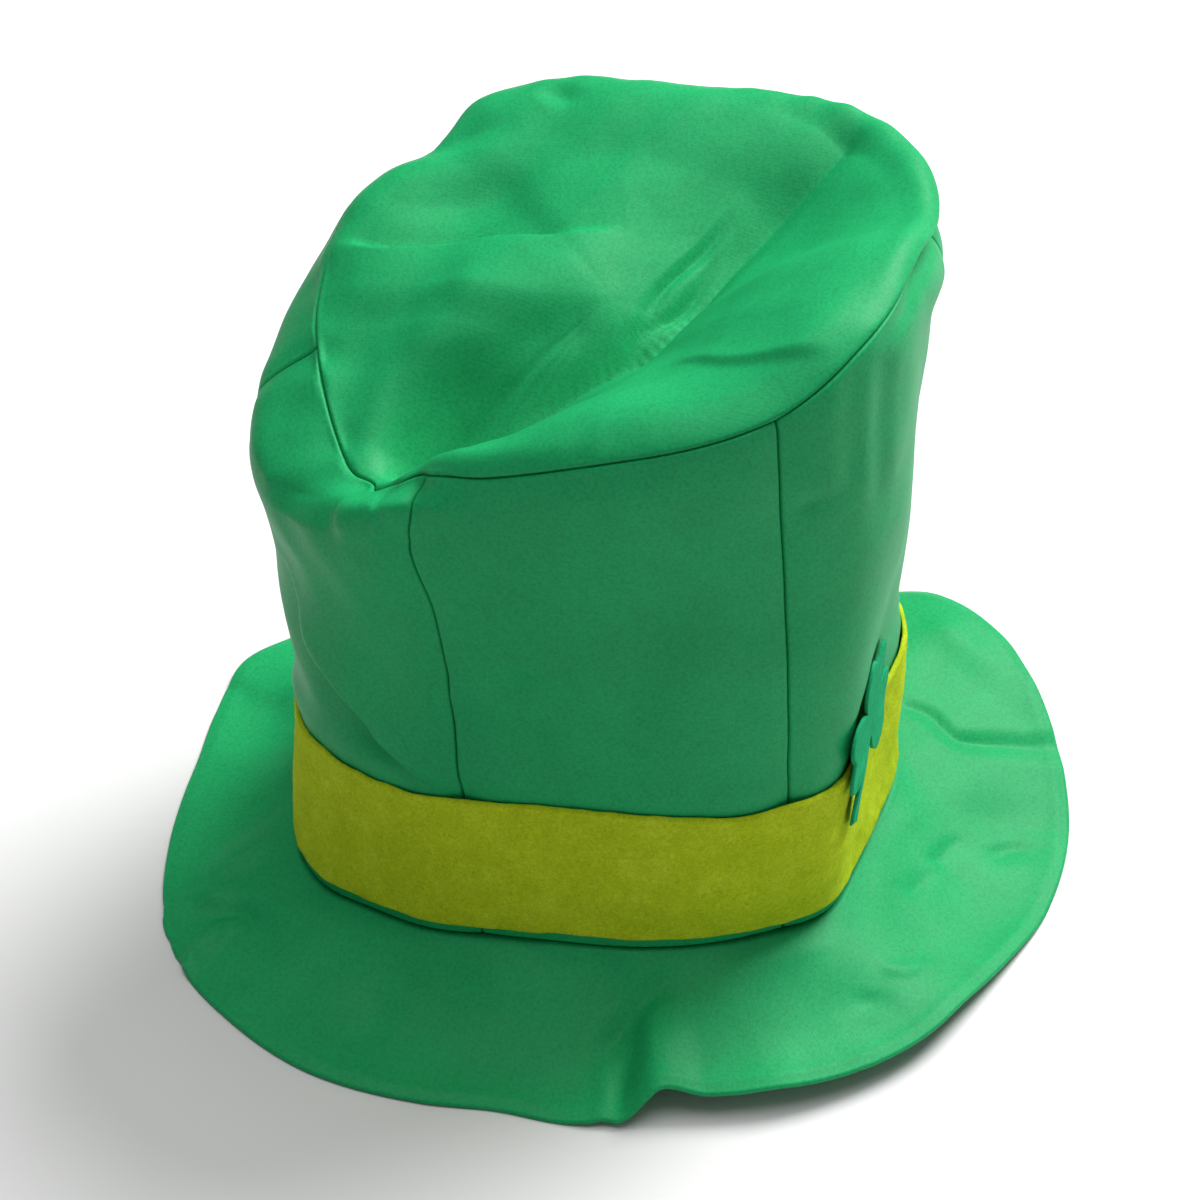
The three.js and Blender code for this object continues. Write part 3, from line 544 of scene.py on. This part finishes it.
def inwards(rows, crowd):
    """Shares from 0 to just before 1, closer at the start."""
    u = np.linspace(0, 1, rows + 1)[:-1]
    return u - crowd * np.sin(math.pi * u) / math.pi


def tip_faces(columns=480, rows=84):
    """The tip's outer and inner points, and its pattern in mm. The band's and brim's are made alike."""
    share = inwards(rows, 0.45)[:, None]
    angle = (np.arange(columns) * 360 / columns)[None, :] + 0 * share
    share = share + 0 * angle
    base = tip(angle, share)
    out = normals(base, True)
    rim = run(base, 0)
    out = unit(mix(rim_ways(angle[0])[None], out, smoothstep(rim, 0, RIM_EASE)[..., None]))
    lift = uneven(base) * (1 - RIM_CALM * bell(rim, 0, RIM_CALM_REACH)) + gathered(angle, rim)
    lift += tip_roll(angle, rim) - turned_in(rim, SEAM_ROLL)
    outer = base + out * lift[..., None]
    inner = base + out * (lift - CLOTH + turned_in(rim, SEAM_ROLL))[..., None]
    return outer, inner, base[..., :2]


CUT_ROUND, EDGE_THIN, LEAST_CLOTH = 0.6, 1.0, 0.5
PATTERN_STEP = 100  # how far apart the panels' patterns lie, so that no two look the same
BRIM_PATTERN_RADIUS, BAND_PATTERN_RADIUS = 115, 92


def brim_faces(columns=720, rows=54):
    share = (1 - spaced(rows, 0.45))[:, None]
    angle = (np.arange(columns) * 360 / columns)[None, :] + 0 * share
    share = share + 0 * angle
    base = brim(angle, share)
    out = normals(base, True)
    edge = run(base, 0)
    foot = edge[-1:] - edge
    out = unit(mix(foot_ways(angle[0])[None], out, smoothstep(foot, 0, RIM_EASE)[..., None]))
    flat = smoothstep(base[..., 2], CLOTH, CLOTH + 6)
    # Where the brim lies on the floor it is less uneven, and towards its cut edge it thins
    lift = (uneven(base) + 0.35) * smoothstep(foot, 0, FOOT_EASE) * mix(0.35, 1, flat)
    sink = turned_in(edge, CUT_ROUND) + turned_in(foot, SEAM_ROLL) + EDGE_THIN * (1 - smoothstep(edge, 0, 5))
    outer = base + out * (lift - sink)[..., None]
    inner = base + out * (lift - CLOTH)[..., None]
    inner[..., 2] = np.maximum(inner[..., 2], 0.0)
    outer[..., 2] = np.maximum(outer[..., 2], inner[..., 2] + LEAST_CLOTH)
    return outer, inner, np.stack([angle * RADIAN * BRIM_PATTERN_RADIUS, edge], -1)


BAND_ROUND, BAND_SPREAD = 0.9, 0.4  # radius of its cut edges, and how far its top stands off more
# The waves of its lower and upper edge: a share of the side, a length in mm and a random seed
LOWER_WAVES = [(0.003, 90, 21), (0.0008, 14, 22)]
UPPER_WAVES = [(0.004, 110, 23), (0.0008, 12, 24)]


def band_faces(columns=420, rows=34):
    low = SIDE_KNOTS[1] * BAND_LIFT / (BAND_LIFT + BAND_HEIGHT)
    s = spaced(rows, 0.7)[:, None]
    angle = (np.arange(columns) * 360 / columns)[None, :] + 0 * s
    ring = polar(angle[0], BAND_PATTERN_RADIUS, 0)
    lower = low + sum(high * waves(ring, length, seed) for high, length, seed in LOWER_WAVES)
    upper = SIDE_KNOTS[1] + sum(high * waves(ring, length, seed) for high, length, seed in UPPER_WAVES)
    share = mix(lower[None], upper[None], s)
    base = side(angle, share)
    out = normals(base, True)
    up = run(base, 0)
    edge = np.minimum(up, up[-1:] - up)
    # The band follows what the cloth under it does
    lift = uneven(base) * smoothstep(up + BAND_LIFT, 0, FOOT_EASE)
    lift = lift + 0.1 * waves(base, 45, 25) + 0.1 * waves(base, 7, 26)
    stand = GAP + BAND_SPREAD * smoothstep(up / up[-1:], 0.8, 1.0)
    outer = base + out * (stand + FELT + lift - turned_in(edge, BAND_ROUND))[..., None]
    inner = base + out * (stand + lift)[..., None]
    return outer, inner, np.stack([angle * RADIAN * BAND_PATTERN_RADIUS, up], -1)


# The shamrock's middle in mm to the wearer's left, forwards and up, and how far it leans in degrees
SHAMROCK_ACROSS, SHAMROCK_FORWARD, SHAMROCK_UP, SHAMROCK_LEAN = -24.2, 94.2, 95, 12
SHAMROCK_THICK = 1.2
SHAMROCK_REACH, STEM_REACH, STEM_WIDTH = 27, 35, 8
LEAF_ANGLES, STEM_ANGLE = (345, 450, 555), 652
LEAF_HALF, STEM_HALF = 52.5, 1.0  # how far a leaf goes from its middle in degrees, and the stem in radians
MIDDLE_REACH = 0.3  # the least reach between the leaves, as a share of the leaves'
# A leaf's heart outline from its notch to its side: a turn in degrees and a share of its reach
HALF_LEAF = table("turn reach", [
    [0, 0.82], [6, 0.87], [14, 0.97], [24, 1.0], [36, 0.88], [45, 0.66], [LEAF_HALF, 0.4]])


def shamrock_reach(turn):
    """The outline's distance from the middle at a turn, for leaves and stem."""
    reach = np.full(turn.shape, MIDDLE_REACH * SHAMROCK_REACH)
    for leaf in LEAF_ANGLES:
        off = np.abs((turn - leaf + 180) % 360 - 180)
        share = np.clip(off / LEAF_HALF, 0, 1)
        smooth = along(HALF_LEAF["turn"] / LEAF_HALF, list(HALF_LEAF["reach"]), share)
        reach = np.where(off < LEAF_HALF, np.maximum(reach, smooth * SHAMROCK_REACH), reach)
    off = np.abs((turn - STEM_ANGLE + 180) % 360 - 180) * RADIAN
    stem_side = STEM_WIDTH / 2 / np.maximum(np.sin(off), 1e-3)
    stem_end = STEM_REACH / np.maximum(np.cos(off), 1e-3)
    stem = np.minimum(stem_side, stem_end)
    return np.where(off < STEM_HALF, np.maximum(reach, stem), reach)


def side_front(across, height):
    """How far forward the crown's side is at places on its front."""
    angle = np.arctan2(-across, SHAMROCK_FORWARD) / RADIAN
    for _ in range(3):
        # The share of the side at each height, found by halving
        low, high = 0 * angle, 0 * angle + 0.7
        for _ in range(12):
            middle = (low + high) / 2
            under = side(angle, middle)[..., 2] < height
            low, high = np.where(under, middle, low), np.where(under, high, middle)
        forward = -side(angle, low)[..., 1]
        angle = np.arctan2(-across, forward) / RADIAN
    return forward


def shamrock_faces(columns=260, rows=22):
    """A flat piece of felt in front of the band. Its near leaf stands free of the crown's corner."""
    stem_half = math.degrees(math.atan2(STEM_WIDTH / 2, STEM_REACH))
    turn = np.arange(columns) * 360 / columns
    turn = np.sort(np.concatenate([turn, STEM_ANGLE % 360 + np.linspace(-1.6, 1.6, 23) * stem_half]))
    ring = shamrock_reach(turn)
    share = (1 - inwards(rows, 0.5))[:, None]
    way = (turn + SHAMROCK_LEAN)[None, :] * RADIAN
    reach = ring[None, :] * share
    across, height = SHAMROCK_ACROSS - np.cos(way) * reach, SHAMROCK_UP + np.sin(way) * reach
    # It lies on the band below the band's top and on the cloth above it, with room for their unevenness
    band_top = CROWN_DROP + BAND_LIFT + BAND_HEIGHT
    on_band = 1 - smoothstep(height, band_top - 1, band_top + 4)
    carried = side_front(across, height) + mix(0.4, GAP + FELT + 1.0, on_band)
    forward = SHAMROCK_FORWARD + np.logaddexp(0, (carried - SHAMROCK_FORWARD) / 0.5) * 0.5
    back = np.stack([across, -forward, height], -1)
    edge = run(back, 0)
    # Its thickness goes out half by its own bend and half straight to the front
    forwards = np.array([0, -1.0, 0])
    out = -normals(back[::-1], True)[::-1]
    out = out * np.sign((out * forwards).sum(-1, keepdims=True))
    out = unit(mix(forwards, out, 0.5))
    lift = 0.12 * waves(back, 20, 31)
    outer = back + out * (SHAMROCK_THICK + lift - turned_in(edge, CUT_ROUND))[..., None]
    inner = back + out * lift[..., None]
    return outer, inner, np.stack([-np.cos(way) * reach, np.sin(way) * reach], -1)


# Meshes
def in_frame(points):
    return (points + MIDDLE) * MM


def closed_sheet(name, outer, inner, pattern, material, ring=False, pole=False):
    """One closed body from an outer and an inner grid of points, with a UV map in metres. A ring
    closes round the hat, and a pole closes its last row over one point."""
    rows, columns = outer.shape[:2]
    points = [outer.reshape(-1, 3), inner.reshape(-1, 3)]
    flat = pattern.reshape(-1, 2)
    places = [flat, flat]
    if pole:
        points += [outer[-1].mean(0)[None], inner[-1].mean(0)[None]]
        places += [pattern[-1].mean(0)[None]] * 2
    count = rows * columns
    index = np.arange(count).reshape(rows, columns)
    if ring:
        index = np.concatenate([index, index[:, :1]], 1)
    a, b, c, d = index[:-1, :-1], index[1:, :-1], index[1:, 1:], index[:-1, 1:]
    outside = np.stack([a, b, c, d], -1).reshape(-1, 4)
    inside = np.stack([d, c, b, a], -1).reshape(-1, 4) + count
    quads = [outside, inside]
    first, last = index[0], index[-1]
    quads.append(np.stack([first[:-1] + count, first[:-1], first[1:], first[1:] + count], -1))
    if not pole:
        quads.append(np.stack([last[:-1] + count, last[1:] + count, last[1:], last[:-1]], -1))
    if not ring:
        start, end = index[:, 0], index[:, -1]
        quads.append(np.stack([start[:-1] + count, start[1:] + count, start[1:], start[:-1]], -1))
        quads.append(np.stack([end[:-1] + count, end[:-1], end[1:], end[1:] + count], -1))
    faces = np.concatenate(quads).tolist()
    if pole:
        top, under = 2 * count, 2 * count + 1
        faces += [[int(last[j]), top, int(last[j + 1])] for j in range(len(last) - 1)]
        faces += [[int(last[j + 1]) + count, under, int(last[j]) + count] for j in range(len(last) - 1)]
    mesh = bpy.data.meshes.new(name)
    mesh.from_pydata(in_frame(np.concatenate(points)), [], faces)
    mesh.validate()
    layer = mesh.uv_layers.new(name="cloth")
    corner = np.zeros(len(mesh.loops), np.int32)
    mesh.loops.foreach_get("vertex_index", corner)
    layer.data.foreach_set("uv", (np.concatenate(places)[corner] * MM).astype(np.float32).ravel())
    mesh.polygons.foreach_set("use_smooth", [True] * len(mesh.polygons))
    mesh.materials.append(material)
    mesh.update()
    piece = bpy.data.objects.new(name, mesh)
    bpy.context.scene.collection.objects.link(piece)
    return piece


# Materials
def colour(code):
    """An sRGB hex value as linear numbers."""
    parts = [int(code[i:i + 2], 16) / 255 for i in (1, 3, 5)]
    return [c / 12.92 if c <= 0.04045 else ((c + 0.055) / 1.055) ** 2.4 for c in parts] + [1.0]


def add(tree, kind, settings=None, **links):
    """Adds a node. A link is a socket of another node, and any other value is set on the input.
    Inputs go by their names, or by i and a number."""
    node = tree.nodes.new(kind)
    for key, value in (settings or {}).items():
        setattr(node, key, value)
    for key, value in links.items():
        name = key.replace("_", " ")
        numbered = key[0] == "i" and key[1:].isdigit()
        socket = node.inputs[int(key[1:])] if numbered else node.inputs[name]
        if isinstance(value, bpy.types.NodeSocket):
            tree.links.new(value, socket)
        else:
            socket.default_value = value
    return node


def new_material(name):
    material = bpy.data.materials.new(name)
    material.use_nodes = True
    material.node_tree.nodes.clear()
    return material, material.node_tree


def ramp(tree, factor, stops):
    node = add(tree, "ShaderNodeValToRGB", Fac=factor)
    while len(node.color_ramp.elements) < len(stops):
        node.color_ramp.elements.new(0.5)
    for element, (place, code) in zip(node.color_ramp.elements, stops):
        element.position, element.color = place, colour(code)
    return node.outputs["Color"]


def finish_material(tree, shader):
    add(tree, "ShaderNodeOutputMaterial", Surface=shader.outputs[0])


def speckled(tree, base, grain, stops):
    """A colour multiplied by the greys of a fine pattern."""
    speck = add(tree, "ShaderNodeMix", {"data_type": "RGBA", "blend_type": "MULTIPLY"})
    tree.links.new(base, speck.inputs[6])
    tree.links.new(ramp(tree, grain, stops), speck.inputs[7])
    speck.inputs[0].default_value = 1.0
    return speck.outputs[2]


# How many times a pattern's noise changes in a metre: one over its size
KNIT_SHADES = 28.0  # soft shades about 36 mm wide, where the pile lies another way
KNIT_GRAIN = 900.0  # grain of 1.1 mm, coarser than the real pile, which is too fine to show
KNIT_WALES = 314.0  # rows of loops 1 mm apart: a wave's scale is pi over ten times its length in metres
FELT_BLOTCHES = 90.0  # blotches about 11 mm wide, where fibres lie thicker
FELT_FIBRES = 700.0  # fibres of 1.4 mm across a tuft, coarser than the real ones, which are hairs


def brushed_knit():
    """Polyester warp knit, brushed and bonded to thin foam. The eye gets one even green with a soft,
    dull shine on the folds, a fine grain from the pile, and no gloss."""
    material, tree = new_material("brushed_polyester_knit")
    place = add(tree, "ShaderNodeTexCoord").outputs["Object"]
    cloth = add(tree, "ShaderNodeUVMap", {"uv_map": "cloth"}).outputs["UV"]
    shade = add(tree, "ShaderNodeTexNoise", Vector=place, Scale=KNIT_SHADES, Detail=3.0, Roughness=0.6)
    green = ramp(tree, shade.outputs["Fac"], [(0.3, "#16995A"), (0.5, "#189E5D"), (0.72, "#1AA361")])
    grain = add(tree, "ShaderNodeTexNoise", Vector=place, Scale=KNIT_GRAIN, Detail=3.0, Roughness=0.7)
    speck = speckled(tree, green, grain.outputs["Fac"], [(0.25, "#DCDCDC"), (0.6, "#FFFFFF")])
    # Wales of the knit, drawn 1 mm apart where the real ones are about half that
    wales = add(tree, "ShaderNodeTexWave", {"bands_direction": "X"}, Vector=cloth, Scale=KNIT_WALES,
                Distortion=1.2, Detail=2.0, Detail_Scale=1.5)
    height = add(tree, "ShaderNodeMath", {"operation": "MULTIPLY_ADD"}, i0=wales.outputs["Fac"], i1=0.12,
                 i2=grain.outputs["Fac"])
    bump = add(tree, "ShaderNodeBump", Strength=0.2, Distance=0.0003, Height=height.outputs[0])
    shader = add(tree, "ShaderNodeBsdfPrincipled", Base_Color=speck, Normal=bump.outputs[0],
                 Roughness=0.5)
    shader.inputs["Specular IOR Level"].default_value = 0.15
    finish_material(tree, shader)
    return material


def pressed_felt(name, dark, middle, light):
    """Needled polyester felt, with fibres lying every way. The eye gets a matt, mottled colour with
    a rough surface and a faint light edge, and no shine."""
    material, tree = new_material(name)
    place = add(tree, "ShaderNodeTexCoord").outputs["Object"]
    blotch = add(tree, "ShaderNodeTexNoise", Vector=place, Scale=FELT_BLOTCHES, Detail=5.0,
                 Roughness=0.65)
    base = ramp(tree, blotch.outputs["Fac"], [(0.32, dark), (0.5, middle), (0.68, light)])
    fibre = add(tree, "ShaderNodeTexNoise", Vector=place, Scale=FELT_FIBRES, Detail=4.0,
                Roughness=0.75, Distortion=1.5)
    speck = speckled(tree, base, fibre.outputs["Fac"], [(0.3, "#C8C8C8"), (0.62, "#FFFFFF")])
    bump = add(tree, "ShaderNodeBump", Strength=0.6, Distance=0.0006, Height=fibre.outputs["Fac"])
    shader = add(tree, "ShaderNodeBsdfPrincipled", Base_Color=speck, Normal=bump.outputs[0],
                 Roughness=0.95)
    shader.inputs["Specular IOR Level"].default_value = 0.1
    shader.inputs["Sheen Weight"].default_value = 0.15
    shader.inputs["Sheen Roughness"].default_value = 0.6
    shader.inputs["Sheen Tint"].default_value = colour(light)
    finish_material(tree, shader)
    return material


KNIT = brushed_knit()
BAND_FELT = pressed_felt("lime_felt", "#B0C61C", "#B8CD22", "#C2D62D")
LEAF_FELT = pressed_felt("shamrock_felt", "#15945F", "#1AA069", "#24AB74")


def settle(piece, node):
    """What the frame needs to know of a piece of cloth."""
    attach(piece, "root")
    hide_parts(node)


# Faces across and up a panel. The one with the lap and the puckers has smaller faces.
PANEL_CELLS, FINE_CELLS, FINE_PANEL = (92, 150), (132, 224), 1
for k in range(PANELS):
    outer, inner, pattern, size = panel_faces(k, *(FINE_CELLS if k == FINE_PANEL else PANEL_CELLS))
    panel = closed_sheet(f"panel_cloth_{k + 1}", outer, inner, pattern, KNIT)
    settle(panel, f"side_panel_{k + 1}")

outer, inner, pattern = tip_faces()
tip_cloth = closed_sheet("tip_cloth", outer, inner, pattern, KNIT, ring=True, pole=True)
settle(tip_cloth, "crown_tip")

outer, inner, pattern = brim_faces()
brim_cloth = closed_sheet("brim_cloth", outer, inner, pattern, KNIT, ring=True)
settle(brim_cloth, "brim")

outer, inner, pattern = band_faces()
band = closed_sheet("band_felt", outer, inner, pattern, BAND_FELT, ring=True)
settle(band, "hat_band")

outer, inner, pattern = shamrock_faces()
shamrock = closed_sheet("shamrock_felt", outer, inner, pattern, LEAF_FELT, ring=True, pole=True)
settle(shamrock, "shamrock")

# Floor, light and camera
scene = bpy.context.scene
scene.view_settings.view_transform = "Standard"


def plain(name, code, roughness):
    material, tree = new_material(name)
    shader = add(tree, "ShaderNodeBsdfPrincipled", Base_Color=colour(code), Roughness=roughness)
    finish_material(tree, shader)
    return material


FLOOR_HALF, FLOOR_UNDER = 12.0, 0.0002  # half its side, and how far it lies under the brim, in metres
corners = [(x * FLOOR_HALF, y * FLOOR_HALF, 0) for x, y in ((-1, -1), (1, -1), (1, 1), (-1, 1))]
floor_mesh = bpy.data.meshes.new("floor")
floor_mesh.from_pydata(corners, [], [(0, 1, 2, 3)])
# Pale matt studio paper: an even light grey without a shine
floor_mesh.materials.append(plain("pale_floor", "#DEDEDE", 0.9))
floor = bpy.data.objects.new("floor", floor_mesh)
scene.collection.objects.link(floor)
floor.location.z = -FLOOR_UNDER

WORLD_STRENGTH = 0.21
world = bpy.data.worlds.new("studio")
world.use_nodes = True
world.node_tree.nodes["Background"].inputs["Color"].default_value = colour("#FFFFFF")
world.node_tree.nodes["Background"].inputs["Strength"].default_value = WORLD_STRENGTH
scene.world = world


def soft_light(name, place, size, power, aim=(0, 0, 0.12)):
    """A round lamp at a place in metres, as wide as its size, with a power in watts."""
    data = bpy.data.lights.new(name, "AREA")
    data.shape, data.size, data.energy = "DISK", size, power
    lamp = bpy.data.objects.new(name, data)
    scene.collection.objects.link(lamp)
    lamp.location = place
    way = np.array(aim) - np.array(place)
    flat = math.hypot(way[0], way[1])
    lamp.rotation_euler = (math.atan2(flat, -way[2]), 0, math.atan2(way[1], way[0]) - math.pi / 2)
    return lamp


soft_light("key", (1.5, -0.9, 2.1), 1.5, 102)
soft_light("overhead", (0.0, 0.0, 2.4), 2.2, 30)

# The camera was fitted to the photograph's outlines: a long lens, 1.2 m from the crown's middle
TARGET = np.array([-4.8, 1.2, 110.0]) * MM
AZIMUTH, ELEVATION, DISTANCE = -74 * RADIAN, 40 * RADIAN, 1.2
LENS, SENSOR = 108, 36
camera_data = bpy.data.cameras.new("camera")
camera_data.lens, camera_data.sensor_width = LENS, SENSOR
camera_data.clip_start = 0.05
camera = bpy.data.objects.new("camera", camera_data)
scene.collection.objects.link(camera)
level = math.cos(ELEVATION)
back = np.array([math.sin(AZIMUTH) * level, -math.cos(AZIMUTH) * level, math.sin(ELEVATION)])
camera.location = TARGET + back * DISTANCE
camera.rotation_euler = (math.pi / 2 - ELEVATION, 0, AZIMUTH)
scene.camera = camera
